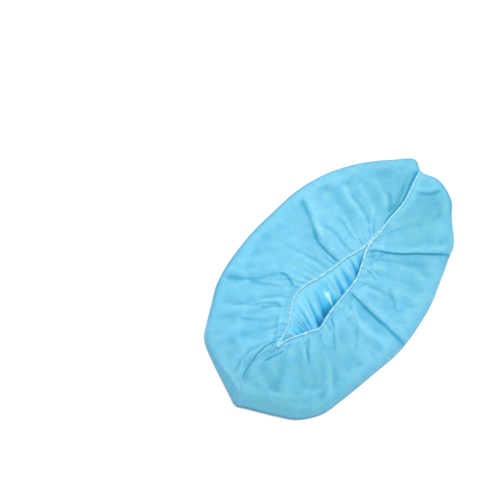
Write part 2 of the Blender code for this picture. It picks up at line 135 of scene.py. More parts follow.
# Creases in the upper: its line in the same shares, how deep in mm and how wide, then
# the ridge beside it in mm: how high, how far to the left of the line, and how wide
Crease = namedtuple("Crease", "line deep wide ridge ridgeAt ridgeWide")
creases = [Crease(*row) for row in [
    ([(0.32, 0.83), (0.235, 0.61), (0.188, 0.50), (0.140, 0.395),
      (0.12, 0.345)], 1.2, 2.4, 1.6, 5.5, 4.5),
    ([(0.175, 0.475), (0.140, 0.395), (0.113, 0.33), (0.097, 0.23), (0.086, 0.14), (0.081, 0.05),
      (0.088, -0.04)], 2.5, 1.6, 1.5, 5.5, 4.5),
    ([(0.25, -0.13), (0.318, -0.27), (0.370, -0.366), (0.440, -0.466), (0.512, -0.566),
      (0.604, -0.697), (0.64, -0.75)], 2.6, 1.5, 2.4, 5.5, 4.5),
    ([(-0.036, -0.31), (-0.048, -0.373), (-0.051, -0.458), (-0.053, -0.56), (-0.051, -0.67),
      (-0.048, -0.78)], 2.4, 1.4, 1.2, 6.0, 5.0),
    ([(-0.053, -0.50), (-0.051, -0.67), (-0.046, -0.81), (-0.034, -1.02),
      (-0.020, -1.24)], 1.7, 3.4, 0.5, 8.0, 5.0),
    ([(-0.15, -0.44), (-0.155, -0.55), (-0.154, -0.68), (-0.143, -0.82),
      (-0.114, -0.95)], 0.0, 2.0, 2.2, 0.0, 6.0),
    ([(-0.39, 0.87), (-0.346, 0.69), (-0.298, 0.56), (-0.235, 0.468),
      (-0.196, 0.39)], 0.9, 3.0, 1.5, 9.0, 5.0),
    ([(-0.196, 0.40), (-0.187, 0.32), (-0.207, 0.244), (-0.222, 0.185)], 1.9, 1.5, 0.8, 4.5, 3.0),
    ([(-0.45, 0.37), (-0.397, 0.242), (-0.377, 0.186), (-0.387, 0.14),
      (-0.366, 0.075)], 1.1, 2.2, 1.0, 4.5, 3.0),
    ([(-0.564, -0.085), (-0.608, -0.06), (-0.652, -0.04), (-0.708, -0.028), (-0.775, -0.030),
      (-0.827, -0.045), (-0.88, -0.07)], 1.8, 1.2, 1.0, -4.5, 4.0),
    ([(-0.59, -0.215), (-0.621, -0.202), (-0.673, -0.16),
      (-0.722, -0.129)], 1.3, 1.6, 0.6, -4.0, 3.0),
    ([(-0.86, 0.30), (-0.881, 0.16), (-0.903, 0.03), (-0.915, -0.09), (-0.90, -0.20), (-0.865, -0.31),
      (-0.804, -0.465), (-0.735, -0.62)], 0.0, 2.0, 1.6, 0.0, 4.0),
    ([(-0.29, 0.89), (-0.459, 0.82), (-0.608, 0.687), (-0.737, 0.53)], 0.0, 2.0, 0.9, 0.0, 3.0),
    ([(0.945, 0.153), (0.834, 0.094), (0.751, 0.038), (0.695, 0.006), (0.626, -0.008),
      (0.544, -0.026), (0.468, -0.048)], 2.6, 1.7, 1.6, 6.5, 4.5),
    ([(0.90, 0.19), (0.843, 0.165), (0.747, 0.094), (0.665, 0.040),
      (0.56, 0.02)], 0.9, 3.4, 0.0, 4.0, 3.0),
    ([(0.56, 0.62), (0.482, 0.415), (0.45, 0.255), (0.41, 0.14)], 0.0, 2.0, 1.7, 0.0, 3.5),
    ([(0.62, 0.50), (0.567, 0.304), (0.521, 0.174), (0.45, 0.06)], 0.0, 2.0, 1.5, 0.0, 3.2),
    ([(0.72, 0.44), (0.669, 0.281), (0.631, 0.163), (0.572, 0.063)], 0.0, 2.0, 1.5, 0.0, 3.2),
    ([(0.70, 0.20), (0.619, 0.072), (0.56, 0.015)], 0.8, 2.6, 0.0, 3.0, 3.0),
    ([(0.53, 0.48), (0.50, 0.32), (0.46, 0.17), (0.41, 0.06)], 0.7, 2.8, 0.0, 3.0, 3.0),
    ([(0.34, 0.36), (0.326, 0.297), (0.278, 0.131), (0.262, 0.03)], 0.9, 2.2, 0.7, 4.0, 3.0),
    ([(0.800, -0.010), (0.825, -0.065), (0.850, -0.118), (0.885, -0.155),
      (0.93, -0.175)], 1.4, 2.6, 1.3, 5.0, 3.5),
    ([(-0.10, -0.36), (-0.155, -0.538), (-0.186, -0.615), (-0.29, -0.743)], 0.6, 3.0, 0.7, 4.0, 3.0),
    ([(-0.215, -0.30), (-0.246, -0.353), (-0.30, -0.452), (-0.39, -0.61)], 0.9, 2.4, 0.8, 4.0, 3.0),
    ([(-0.36, -0.36), (-0.395, -0.43), (-0.424, -0.511)], 0.7, 2.4, 0.6, 3.5, 2.5),
    ([(-0.43, -0.29), (-0.45, -0.325), (-0.502, -0.404), (-0.56, -0.503)], 1.1, 2.6, 0.8, -4.0, 3.0),
    ([(-0.49, -0.56), (-0.518, -0.617), (-0.582, -0.714), (-0.664, -0.82)], 0.6, 4.6, 1.2, 8.0, 2.6),
    ([(-0.46, -0.30), (-0.495, -0.36), (-0.53, -0.47)], 0.7, 1.6, 0.5, -3.5, 2.5),
    ([(0.144, -0.27), (0.140, -0.33), (0.132, -0.42)], 0.8, 1.5, 0.4, 3.0, 2.0),
    ([(0.17, -0.28), (0.172, -0.34), (0.166, -0.42)], 0.7, 1.5, 0.0, 3.0, 2.0),
    ([(0.30, -0.48), (0.355, -0.583), (0.357, -0.745)], 0.0, 2.0, 1.0, 0.0, 4.5),
    ([(0.154, -0.56), (0.12, -0.66), (0.08, -0.753)], 0.9, 2.4, 0.6, 5.0, 4.0),
    ([(-0.45, 0.075), (-0.49, 0.035), (-0.54, -0.03), (-0.585, -0.055)], 0.5, 2.6, 0.5, 3.5, 2.5),
    ([(-0.33, 0.62), (-0.31, 0.46), (-0.28, 0.34), (-0.27, 0.24)], 0.7, 1.8, 0.5, 4.0, 3.0),
    ([(-0.50, 0.52), (-0.46, 0.36), (-0.43, 0.22)], 0.7, 1.8, 0.5, 4.0, 3.0),
    ([(-0.58, 0.40), (-0.53, 0.24), (-0.49, 0.12)], 0.7, 1.8, 0.5, 4.0, 3.0),
]]

# Gathers in three sizes: how far apart and how deep in mm, how far from the elastic
# they are deepest, and how sharp their valleys are
Gather = namedtuple("Gather", "apart depth reach sharp")
gathers = [Gather(*row) for row in [
    (4.6, 0.32, 4.5, 0.85),
    (9.5, 0.50, 9.0, 0.85),
    (21.0, 0.75, 24.0, 0.85),
]]


def roundTable(rows, perRow):
    # Catmull-Rom through the rows, round and round
    table = np.array(rows, dtype=float)
    before, start, end, after = [np.roll(table, shift, axis=0)[:, None, :] for shift in (1, 0, -1, -2)]
    way = (np.arange(perRow) / perRow)[None, :, None]
    slopeIn = (end - before) / 2
    slopeOut = (after - start) / 2
    bend = 2 * start - 2 * end + slopeIn + slopeOut
    lean = -3 * start + 3 * end - 2 * slopeIn - slopeOut
    values = ((bend * way + lean) * way + slopeIn) * way + start
    return values.reshape(-1, table.shape[1])


def softened(values, sigma, axis, around):
    # Gaussian blur along one axis of a grid, closed round or with its ends held
    reach = int(3 * sigma + 1)
    weights = np.exp(-0.5 * (np.arange(-reach, reach + 1) / sigma) ** 2)
    weights /= weights.sum()
    total = np.zeros_like(values)
    size = values.shape[axis]
    for step, weight in zip(range(-reach, reach + 1), weights):
        index = np.arange(size) + step
        index = index % size if around else np.clip(index, 0, size - 1)
        total += weight * np.take(values, index, axis=axis)
    return total


def smoothStep(value):
    value = np.clip(value, 0.0, 1.0)
    return value * value * (3 - 2 * value)


def planOf(table, leftSide):
    # Outline and rim from above, for rows of the section table
    halfLength, halfWidth = bag["length"] / 2, bag["width"] / 2
    out = np.stack([table[:, 0] * halfLength, table[:, 1] * halfWidth], axis=1)
    along = np.clip(table[:, 2], -1, 1)
    halfOpening = bag["openingLength"] / 2
    toEnd = halfOpening * (1 - np.abs(along))
    side = np.where(leftSide, 1.0, -1.0)
    side = side * np.sqrt(1 - np.clip(1 - toEnd / bag["pinchHalf"], 0, 1) ** 2)
    gape = np.maximum(table[:, 3], 0) * (bag["openingWidth"] / 2 - bag["pinchHalf"])
    spine = bag["openingAside"] + along * bag["openingSkew"] / 2
    ahead = bag["openingAhead"] + along * halfOpening
    rim = np.stack([ahead, spine + side * (bag["pinchHalf"] + gape)], axis=1)
    return out, rim, side


def columnsOf():
    # Columns spaced evenly over the rim and the outline together, toe seam first
    perRow = 64
    fine = roundTable(sections, perRow)
    leftSide = np.arange(len(fine)) <= heelSection * perRow
    out, rim, _ = planOf(fine, leftSide)
    rimStep = np.linalg.norm(np.roll(rim, -1, axis=0) - rim, axis=1)
    outStep = np.linalg.norm(np.roll(out, -1, axis=0) - out, axis=1)
    shares = np.linspace(0.05, 0.95, 24)[:, None]
    across = rim[None] + (out - rim)[None] * shares[..., None]
    bowed = across[..., 1] + fine[:, 4] * bag["width"] / 2 * np.sin(math.pi * shares) ** 2
    _, inCrease, _ = creaseLift(across[..., 0], bowed)
    crowd = softened(np.clip(inCrease.max(axis=0), 0, 1)[None, :], 5.0, 1, True)[0]
    density = 1 + bag["crowding"] * crowd
    measure = np.concatenate([[0], np.cumsum((rimStep / rimStep.sum() + outStep / outStep.sum()) * density)])
    heelAt = heelSection * perRow
    places = []
    for start, end, count in ((0, heelAt, bag["leftColumns"]), (heelAt, len(fine), bag["rightColumns"])):
        wanted = np.linspace(measure[start], measure[end], count, endpoint=False)
        places.append(np.interp(wanted, measure, np.arange(len(measure))))
    place = np.concatenate(places)
    closed = np.vstack([fine, fine[:1]])
    number = np.arange(len(closed))
    table = np.stack([np.interp(place, number, values) for values in closed.T], axis=1)
    leftSide = np.arange(len(place)) <= bag["leftColumns"]
    return table, leftSide


def crestHeight(x):
    share = x / (bag["length"] / 2)
    return bag["crest"] * np.interp(share, list(crestTable), list(crestTable.values()))


def alongLine(x, y, line):
    # For each place: how far from a line, on its left (1) or right (-1), and how far along
    half = np.array([bag["length"] / 2, bag["width"] / 2])
    spot = np.stack([x, y], axis=-1)
    points = [np.array(pair) * half for pair in line]
    lengths = [np.linalg.norm(tail - head) for head, tail in zip(points, points[1:])]
    nearest = np.full_like(x, 1.0)
    along = np.zeros_like(x)
    leftward = np.ones_like(x)
    done = 0.0
    for head, tail, length in zip(points, points[1:], lengths):
        step = tail - head
        way = np.clip(((spot - head) @ step) / length ** 2, 0, 1)
        offset = spot - head - way[..., None] * step
        away = np.linalg.norm(offset, axis=-1)
        closer = away < nearest
        nearest = np.where(closer, away, nearest)
        along = np.where(closer, (done + way * length) / sum(lengths), along)
        cross = step[0] * (spot[..., 1] - head[1]) - step[1] * (spot[..., 0] - head[0])
        leftward = np.where(closer, np.where(cross < 0, -1.0, 1.0), leftward)
        done += length
    return nearest, leftward, along


def waveLift(x, y):
    total = np.zeros_like(x)
    for wave in waves:
        nearest, _, along = alongLine(x, y, (wave[0:2], wave[2:4], wave[4:6]))
        fade = 0.4 + 0.6 * np.sin(math.pi * along)
        total += bag["waveHigh"] * wave.lift / 1000 * fade * np.exp(-((nearest / (wave.spread / 1000)) ** 2))
    return total


# Painted shade beside each crease, reaching further on its right, and painted highlight on its ridge
creaseShade = {"beside": 0.42, "ridge": 0.11, "rightReach": 0.0075, "leftReach": 0.002}


def creaseLift(x, y):
    # Height of all creases and their ridges, how deep in a crease each place lies, and how much painted shade
    # beside the creases and painted highlight on their ridges each place gets
    total, inCrease, shaded = np.zeros_like(x), np.zeros_like(x), np.zeros_like(x)
    for crease in creases:
        nearest, leftward, along = alongLine(x, y, crease.line)
        fade = smoothStep((along + 0.03) / 0.10) * smoothStep((1.02 - along) / 0.14)
        wide = crease.wide / 1000 * bag["creaseWide"]
        valley = 1 / (1 + (nearest / wide) ** 2) ** 1.5 * fade
        beside = (nearest * leftward - crease.ridgeAt / 1000) / (crease.ridgeWide / 1000)
        onRidge = np.exp(-(beside ** 2))
        high, deep = crease.ridge * bag["creaseHigh"], crease.deep * bag["creaseHigh"]
        total += (high * onRidge * fade - deep * valley) / 1000
        strength = min(crease.deep / 2.4, 1.1) ** 1.5
        inCrease += np.exp(-((nearest / wide) ** 2)) * fade * strength
        reach = np.where(leftward < 0, creaseShade["rightReach"], creaseShade["leftReach"])
        shaded += creaseShade["beside"] * strength * fade * np.exp(-nearest / reach)
        shaded -= creaseShade["ridge"] * min(crease.ridge / 1.5, 1.2) * onRidge * fade
    return total, inCrease, shaded


def noiseGrid(x, y, scale, seed, octaves=3):
    grid = np.zeros(x.shape)
    for spot in np.ndindex(x.shape):
        place = Vector((x[spot] * scale + seed, y[spot] * scale - seed, seed * 1.7))
        grid[spot] = noise.fractal(place, 0.8, 2.1, octaves)
    return grid


def gatherLift(fromRim, rimWay, x, y):
    # Pleats that run out from the elastic, finer and deeper beside it
    total = np.zeros_like(fromRim)
    for number, gather in enumerate(gathers):
        turns = round(rimWay[-1] / (gather.apart / 1000))
        steps = rimWay / rimWay[-1]
        jitter = sum(
            random.uniform(0.25, 0.6) / k ** 0.5
            * np.sin(math.tau * k * steps * 3 + random.uniform(0, math.tau))
            for k in range(1, 9)
        )
        strength = 0.75 + 0.45 * sum(
            random.uniform(0.3, 0.6) * np.sin(math.tau * k * steps + random.uniform(0, math.tau))
            for k in (3, 5, 8, 13)
        )
        swerve = noiseGrid(x, y, 18.0, 3.1 + number) * 1.6 * smoothStep(fromRim / 0.03)
        phase = math.tau * turns * steps[None, :] + jitter[None, :] * 1.4 + swerve
        shape = 2 * np.abs(np.sin(phase / 2)) ** gather.sharp - 1.15
        near = fromRim / (gather.reach / 1000)
        window = near ** 1.3 * np.exp(1.3 * (1 - near))
        total += gather.depth / 1000 * np.clip(strength, 0.15, 1.4)[None, :] * shape * window
    return total


def deselectAll():
    for item in bpy.context.selected_objects:
        item.select_set(False)


def asActive(piece):
    deselectAll()
    piece.select_set(True)
    bpy.context.view_layer.objects.active = piece


def applyAll(piece):
    asActive(piece)
    for modifier in list(piece.modifiers):
        bpy.ops.object.modifier_apply(modifier=modifier.name)


def settled(upper):
    # A coarser copy of the upper, cut a little too large, wrinkles in Cloth between the
    # elastic and the outline, and hands its movement back to the fine one
    across, outward = bag["cageColumns"], bag["cageRings"]
    coarse = upper[::outward, ::across]
    ringCount, count = coarse.shape[:2]
    faces = []
    for ring in range(ringCount - 1):
        for column in range(count):
            after = (column + 1) % count
            faces.append((ring * count + column, (ring + 1) * count + column,
                          (ring + 1) * count + after, ring * count + after))
    mesh = bpy.data.meshes.new("settling")
    mesh.from_pydata([tuple(point) for point in coarse.reshape(-1, 3)], [], faces)
    cage = bpy.data.objects.new("settling", mesh)
    bpy.context.scene.collection.objects.link(cage)
    held = cage.vertex_groups.new(name="held")
    for ring, weight in ((0, 1.0), (1, 0.6), (ringCount - 2, 0.7), (ringCount - 1, 1.0)):
        held.add(list(range(ring * count, (ring + 1) * count)), weight, "REPLACE")
    cloth = cage.modifiers.new("settle", "CLOTH")
    cloth.collision_settings.use_collision = False
    cloth.point_cache.frame_start = 1
    cloth.point_cache.frame_end = bag["settleFrames"]
    settings = cloth.settings
    settings.quality = 7
    settings.mass = 0.03
    settings.tension_stiffness = settings.compression_stiffness = 12.0
    settings.shear_stiffness = 6.0
    settings.bending_model = "ANGULAR"
    settings.bending_stiffness = 0.4
    settings.vertex_group_mass = "held"
    settings.pin_stiffness = 2.0
    settings.shrink_min = -bag["slack"]
    settings.effector_weights.gravity = 0.15
    scene = bpy.context.scene
    for number in range(1, bag["settleFrames"] + 1):
        scene.frame_set(number)
    applyAll(cage)
    scene.frame_set(1)
    after = np.empty(len(cage.data.vertices) * 3)
    cage.data.vertices.foreach_get("co", after)
    bpy.data.objects.remove(cage)
    moved = after.reshape(coarse.shape) - coarse
    amount = np.linalg.norm(moved, axis=2, keepdims=True)
    most = bag["settleCap"]
    moved *= most * np.tanh(amount / most) / np.maximum(amount, 1e-9)
    largest, usual = (round(float(value) * 1000, 2) for value in (amount.max(), amount.mean()))
    print("cloth moved up to", largest, "mm, mean", usual)
    ringAt = np.arange(upper.shape[0]) / outward
    columnAt = np.arange(upper.shape[1]) / across
    lower = np.clip(ringAt.astype(int), 0, ringCount - 2)
    way = (ringAt - lower)[:, None, None]
    rows = moved[lower] * (1 - way) + moved[lower + 1] * way
    before = columnAt.astype(int) % count
    turn = (columnAt - columnAt.astype(int))[None, :, None]
    fine = rows[:, before] * (1 - turn) + rows[:, (before + 1) % count] * turn
    return softened(softened(fine, 1.2, 1, True), 0.7, 0, False)


def sideShape(top, out):
    # Down from the shoulder to the outline, round under it, then in over the sole
    sides = []
    for way in [*np.linspace(0, 0.82, bag["sideRings"] - 1)[1:], 0.94, 1.0]:
        turn = way * math.pi / 2
        outward = math.sin(turn) + (way - math.sin(turn)) * bag["bevel"]
        downward = math.cos(turn) + (1 - way - math.cos(turn)) * bag["bevel"]
        widest = top[:, 2] * bag["widestAt"]
        ring = top.copy()
        ring[:, :2] += (out - top[:, :2]) * outward
        ring[:, 2] = widest + (top[:, 2] - widest) * downward
        sides.append(ring)
    widest = sides[-1]
    outLength = np.linalg.norm(out, axis=1)
    inward = out * ((outLength - bag["soleRoll"]) / outLength)[:, None]
    for turn in (0.35, 0.7):
        ring = widest.copy()
        ring[:, :2] += (inward - out) * (1 - math.cos(turn * math.pi / 2))
        ring[:, 2] = widest[:, 2] * (1 - math.sin(turn * math.pi / 2))
        sides.append(ring)
    parts = np.linspace(1, 0.06, bag["soleRings"])
    sole = [np.column_stack([inward * part, np.zeros(len(out))]) for part in parts]
    return sides, sole


def frillShape(rimTop, leftSide, frill, rimWay):
    # The edge of the left side hangs far across the opening, in soft uneven pleats
    rightOrder = np.argsort(rimTop[~leftSide, 0])
    rightX, rightY = rimTop[~leftSide, 0][rightOrder], rimTop[~leftSide, 1][rightOrder]
    wide = np.abs(rimTop[:, 1] - np.interp(rimTop[:, 0], rightX, rightY))
    reach = np.where(leftSide, np.maximum(wide - bag["frillGap"], 0.0), bag["frillRight"])
    reach = softened((reach * np.clip(frill * 1.6, 0, 1))[None, :], 3.0, 1, True)[0]
    rimTurns = rimWay[:-1] / bag["pleatApart"]
    sway = 2.1 * np.sin(rimTurns * 0.83 + 0.4) + 1.3 * np.sin(rimTurns * 1.9 + 2.0)
    finger = (0.5 + 0.5 * np.sin(math.tau * rimTurns * 0.62 + sway)) ** 0.7
    finger = 0.6 + (finger - 0.6) * (0.85 + 0.4 * np.sin(rimTurns * 0.61 + 2.2))
    small = np.abs(np.sin(math.pi * rimTurns * 2.6 + 0.9 * sway))
    uneven = 1 + 0.10 * (finger - 0.6) + 0.10 * np.sin(rimTurns * 0.9 + 1.0)
    sign = np.where(leftSide, 1.0, -1.0)
    deep = np.minimum(reach / 0.02, 1.0)
    flapFrom, flapTo = np.array(bag["flapFrom"]), np.array(bag["flapTo"])
    flapLine = flapTo - flapFrom
    made, flaps = [], []
    for step in np.linspace(1, 0, bag["frillRings"] + 1)[:-1]:
        ring = rimTop.copy()
        ring[:, 1] -= sign * reach * uneven * step ** 0.85
        leaning = smoothStep((rimTop[:, 0] - bag["leanFrom"]) / bag["leanOver"])
        ring[:, 0] -= np.where(leftSide, reach * bag["frillLean"] * step * leaning, 0)
        ring[:, 0] += sign * (finger - 0.5) * bag["pleatSwing"] * step * deep
        hang = bag["frillDrop"] * np.where(leftSide, deep, 0.3) * (0.55 * step + 0.45 * step ** 3)
        ring[:, 2] -= hang
        ripple = np.sin(math.tau * rimTurns * 1.37 + 3.0 * step + sway)
        lift = (finger - 0.62) * bag["pleatDeep"] + (small - 0.6) * bag["smallDeep"]
        lift += bag["rippleDeep"] * ripple * math.sin(math.pi * step)
        ring[:, 2] += lift * smoothStep(step / 0.45) * deep
        onWay = np.clip(((ring[:, :2] - flapFrom) @ flapLine) / (flapLine @ flapLine), 0, 1)
        away = np.linalg.norm(ring[:, :2] - flapFrom - onWay[:, None] * flapLine, axis=1)
        flap = smoothStep(1.6 - away / (bag["flapWide"] * (1.05 - onWay))) * leftSide
        ring[:, 2] += flap * bag["flapLift"]
        flaps.append(flap)
        made.append(ring)
    pocket = np.clip((0.62 - finger) / 0.62, -0.3, 1.0) * deep
    return made, pocket, np.array(flaps)


def bagRings():
    # Rings from the free edge of the frill over the upper and the side to the sole
    table, leftSide = columnsOf()
    out, rim, side = planOf(table, leftSide)
    bow, edge, shoulder, frill = (table[:, k] for k in (4, 5, 6, 7))
    frill = np.maximum(frill, 0)
    atHeel = smoothStep((edge - bag["heelFrom"]) / bag["heelOver"])
    shoulder = 1 - (1 - shoulder) * (bag["bandKept"] + (bag["bandKeptHeel"] - bag["bandKept"]) * atHeel)
    ways = np.linspace(0, 1, bag["upperRings"] + 1) ** bag["ringCrowding"]
    line = out - rim
    lineLength = np.linalg.norm(line, axis=1)
    share = ways[:, None] * shoulder[None, :]
    x = rim[None, :, 0] + line[None, :, 0] * share
    y = rim[None, :, 1] + line[None, :, 1] * share
    y = y + bow[None, :] * bag["width"] / 2 * np.sin(math.pi * share) ** 2
    opening = np.minimum(1, lineLength[None, :] * share / bag["flareOver"]) * (1 - ways[:, None]) ** 2
    y = y + side[None, :] * bag["rimFlare"] * opening
    kept = bag["edgeKept"] + (bag["edgeKeptHeel"] - bag["edgeKept"]) * atHeel
    low = (edge * bag["crest"] * kept)[None, :]
    height = low + (crestHeight(x) - low) * (1 - ways[:, None] ** bag["fullness"])
    fromRim = np.hypot(x - rim[None, :, 0], y - rim[None, :, 1])
    height -= bag["rimDip"] * np.exp(-((fromRim / bag["dipReach"]) ** 2))
    rimStep = np.linalg.norm(np.roll(rim, -1, axis=0) - rim, axis=1)
    outStep = np.linalg.norm(np.roll(out, -1, axis=0) - out, axis=1)
    rimWay = np.concatenate([[0], np.cumsum(rimStep + 0.12 * outStep)])
    pleats = gatherLift(fromRim, rimWay[:-1], x, y)
    gapX, gapY = (np.roll(grid, -4, axis=1) - np.roll(grid, 4, axis=1) for grid in (x, y))
    apart = smoothStep(np.hypot(gapX, gapY) / 0.0045)                  # none where columns crowd
    pleats *= apart * np.where(leftSide, 1.0, bag["rightGathers"])[None, :]
    fade = smoothStep((1 - ways[:, None]) / 0.06)
    foldIn = smoothStep((fromRim - bag["foldStart"] * 0.5) / bag["foldStart"])
    crumples = noiseGrid(x, y, 42.0, 8.3, 4) * bag["crumple"] * smoothStep(fromRim / 0.02)
    crease, inCrease, shaded = creaseLift(x, y)
    height += (pleats + (waveLift(x, y) + crease) * foldIn + crumples) * fade
    upper = np.stack([x, y, height], axis=-1)
    upper += settled(upper)
    sides, sole = sideShape(upper[-1], out)
    frills, pocket, flaps = frillShape(upper[0], leftSide, frill, rimWay)
    return frills, list(upper), sides, sole, inCrease, shaded, pocket, flaps


def clothMesh(name, rings, turnAt):
    # One sheet from the rings, closed in the middle of the sole, with its cut as a UV map
    count = len(rings[0])
    points = np.concatenate(rings)
    corners = [tuple(point) for point in points] + [(0.0, 0.0, 0.0)]
    faces = []
    for ring in range(len(rings) - 1):
        first, second = ring * count, (ring + 1) * count
        for column in range(count):
            after = (column + 1) % count
            faces.append((first + column, second + column, second + after, first + after))
    last = (len(rings) - 1) * count
    middle = len(corners) - 1
    faces += [(last + column, middle, last + (column + 1) % count) for column in range(count)]
    mesh = bpy.data.meshes.new(name)
    mesh.from_pydata(corners, [], faces)
    mesh.shade_smooth()
    piece = bpy.data.objects.new(name, mesh)
    bpy.context.scene.collection.objects.link(piece)
    # the cut: as seen from above on the upper and the sole, unrolled down the side
    above = np.array(corners)[:, :2].copy()
    unrolled = above.copy()
    grid = points.reshape(len(rings), count, 3)
    for ring in range(turnAt + 1, len(rings)):
        step = np.linalg.norm(grid[ring] - grid[ring - 1], axis=1)
        shoulder = grid[turnAt][:, :2] - grid[turnAt - 3][:, :2]
        outward = shoulder / np.linalg.norm(shoulder, axis=1)[:, None]
        start, before = ring * count, (ring - 1) * count
        unrolled[start:start + count] = unrolled[before:before + count] + outward * step[:, None]
    flatRings = bag["soleRings"] * count
    sideEnd = len(points) - flatRings
    cut = mesh.uv_layers.new(name="cut")
    values = np.empty((len(mesh.loops), 2))
    vertexOf = np.empty(len(mesh.loops), dtype=int)
    mesh.loops.foreach_get("vertex_index", vertexOf)
    faceOf = np.repeat(np.arange(len(faces)), [len(face) for face in faces])
    onSole = faceOf >= (sideEnd - count)
    values[:] = unrolled[vertexOf]
    values[onSole] = above[vertexOf[onSole]]
    cut.data.foreach_set("uv", values.ravel())
    return piece


print("working out the bag")
frillPart, upperPart, sidePart, solePart, inCrease, shaded, pocket, flaps = bagRings()
lowCorner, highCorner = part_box("fabric_body")
shift = np.array([(lowCorner[0] + highCorner[0]) / 2, (lowCorner[1] + highCorner[1]) / 2, 0.0])
rings = [ring + shift for ring in frillPart + upperPart + sidePart + solePart]
rimRing = len(frillPart)
shoulderRing = rimRing + len(upperPart) - 1
fabric = clothMesh("nonwoven_bag", rings, shoulderRing)
print("bag has", len(fabric.data.polygons), "faces")

# Painted shade and highlight for each place of the sheet, for its colour: darker in creases, hollows, along
# the far side and the outline and under the elastic (1 darkest painted shade), paler on ridges, the frill and
# the flap (-1 palest painted highlight)
shades = {
    "reliefSpan": 0.0009, "relief": 0.45, "crease": 0.8, "creaseMost": 0.74,
    "farShoulderShade": 0.25, "farSideShade": 0.8, "nearSideShade": 0.02, "heelFlat": 0.30, "sideCrease": 0.7,
    "aboveFloor": 0.35, "atFloor": 1.2,
    "frill": -0.42, "pocket": 0.34, "tucked": 0.85, "underElastic": 0.80, "flap": -1.6,
}
grid = np.array(rings)
heights = grid[:, :, 2]
outline = rings[shoulderRing][:, :2]
leftward = 0.75 + 0.25 * smoothStep((-outline[:, 0] / 0.18 + outline[:, 1] / 0.11 + 1.2) / 1.2)
# Painted shade in hollows and painted highlight on bumps, from how far each place lies below its blurred
# surroundings
broad = softened(softened(heights, 5.0, 1, True), 2.0, 0, False)
paintedShade = np.clip((broad - heights) / shades["reliefSpan"], -0.8, 0.8) * shades["relief"]
onUpper = slice(rimRing, shoulderRing + 1)
# Painted shade in and beside the creases, painted highlight on their ridges
paintedShade[onUpper] += shades["crease"] * np.clip(inCrease, 0, 1.1) + shaded
paintedShade[onUpper] = np.minimum(paintedShade[onUpper], shades["creaseMost"])
paintedShade[shoulderRing + 1:] = 0
across = outline / np.array([bag["length"] / 2, bag["width"] / 2]) ** 2
across /= np.linalg.norm(across, axis=1)[:, None]
farSide = smoothStep((across @ np.array([0.766, 0.643]) + 0.1) / 0.6)       # painted shade on the far side, towards the toe
heelFlat = smoothStep((across @ np.array([-0.95, 0.31]) - 0.80) / 0.12)    # painted shade on the flat beside the heel's corner
# A painted dark line along the shoulder, and painted shade down the side band: strong on the far side, faint
# on the near side, also on the flat beside the heel and under creases
paintedShade[shoulderRing] += shades["farShoulderShade"] * farSide
atSide = shades["farSideShade"] * farSide + shades["nearSideShade"] * (1 - farSide) + shades["heelFlat"] * heelFlat
atSide = atSide + shades["sideCrease"] * np.clip(inCrease[-1], 0, 1) + shaded[-1]
lastSide = shoulderRing + bag["sideRings"]
paintedShade[shoulderRing + 1:lastSide] = atSide
# Painted contact shadow: a dark line along the outline at the floor, stronger towards the heel and the left
# side
paintedShade[lastSide - 1] = shades["aboveFloor"] * leftward
paintedShade[lastSide:lastSide + 3] = shades["atFloor"] * leftward
toEdge = np.linspace(1, 0, rimRing + 1)[:-1, None]
tucked = smoothStep((grid[:rimRing, :, 0] - shift[0] + 0.066) / 0.012)
# On the frill: a painted highlight over it all, painted shade in its pleat pockets, a painted shadow where
# its edge tucks under the right elastic, and the flap painted pale
atFrill = shades["pocket"] * pocket[None, :] * (0.3 + 0.7 * toEdge) + shades["frill"]
atFrill = atFrill + shades["tucked"] * tucked * smoothStep((toEdge - 0.66) / 0.16)
atFrill = atFrill + shades["underElastic"] * tucked * smoothStep((toEdge - 0.82) / 0.08)
paintedShade[:rimRing] = atFrill + shades["flap"] * flaps
paintedShade = np.clip(paintedShade, -1, 1)

# Broad patches tinted greener and darker (amount below 0) or bluer (amount above 0): middle and reach in
# shares, amount
patches = [
    (0.72, -0.25, 0.28, 0.40, -0.85), (0.30, -0.62, 0.28, 0.35, -0.35), (0.78, 0.40, 0.25, 0.35, -0.50),
    (-0.35, 0.70, 0.45, 0.30, 0.25), (-0.80, -0.32, 0.20, 0.38, -0.75), (-0.52, -0.70, 0.26, 0.30, -0.55),
    (0.35, 0.35, 0.25, 0.25, -0.15), (-0.62, 0.20, 0.16, 0.22, 0.25), (-0.10, -0.80, 0.15, 0.20, 0.15),
]
spotX, spotY = grid[:, :, 0] / (bag["length"] / 2), grid[:, :, 1] / (bag["width"] / 2)
tone = np.zeros_like(paintedShade)
for middleX, middleY, reachX, reachY, amount in patches:
    tone += amount * np.exp(-(((spotX - middleX) / reachX) ** 2) - ((spotY - middleY) / reachY) ** 2)
# The frill is tinted bluer towards its free edge, in its pockets and where it tucks under the elastic:
# painted shade
frillTone = 0.10 + 0.90 * toEdge * np.clip(0.30 + 1.5 * pocket[None, :], 0, 1) + 0.4 * tucked * toEdge ** 3
tone[:rimRing] = frillTone * (1 - flaps)
for name, values in (("tone", np.clip(tone, -1, 1)), ("paintedShade", paintedShade)):
    layer = fabric.data.attributes.new(name, "FLOAT", "POINT")
    layer.data.foreach_set("value", np.concatenate([values.ravel(), [0.0]]))

fabric.data.materials.append(None)        # outside
fabric.data.materials.append(None)        # inside
wall = fabric.modifiers.new("wall", "SOLIDIFY")
wall.thickness = bag["thickness"]
wall.offset = -1.0
wall.use_quality_normals = True
wall.material_offset = 1
wall.material_offset_rim = 0
applyAll(fabric)
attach(fabric, "root")
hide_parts("fabric_body")


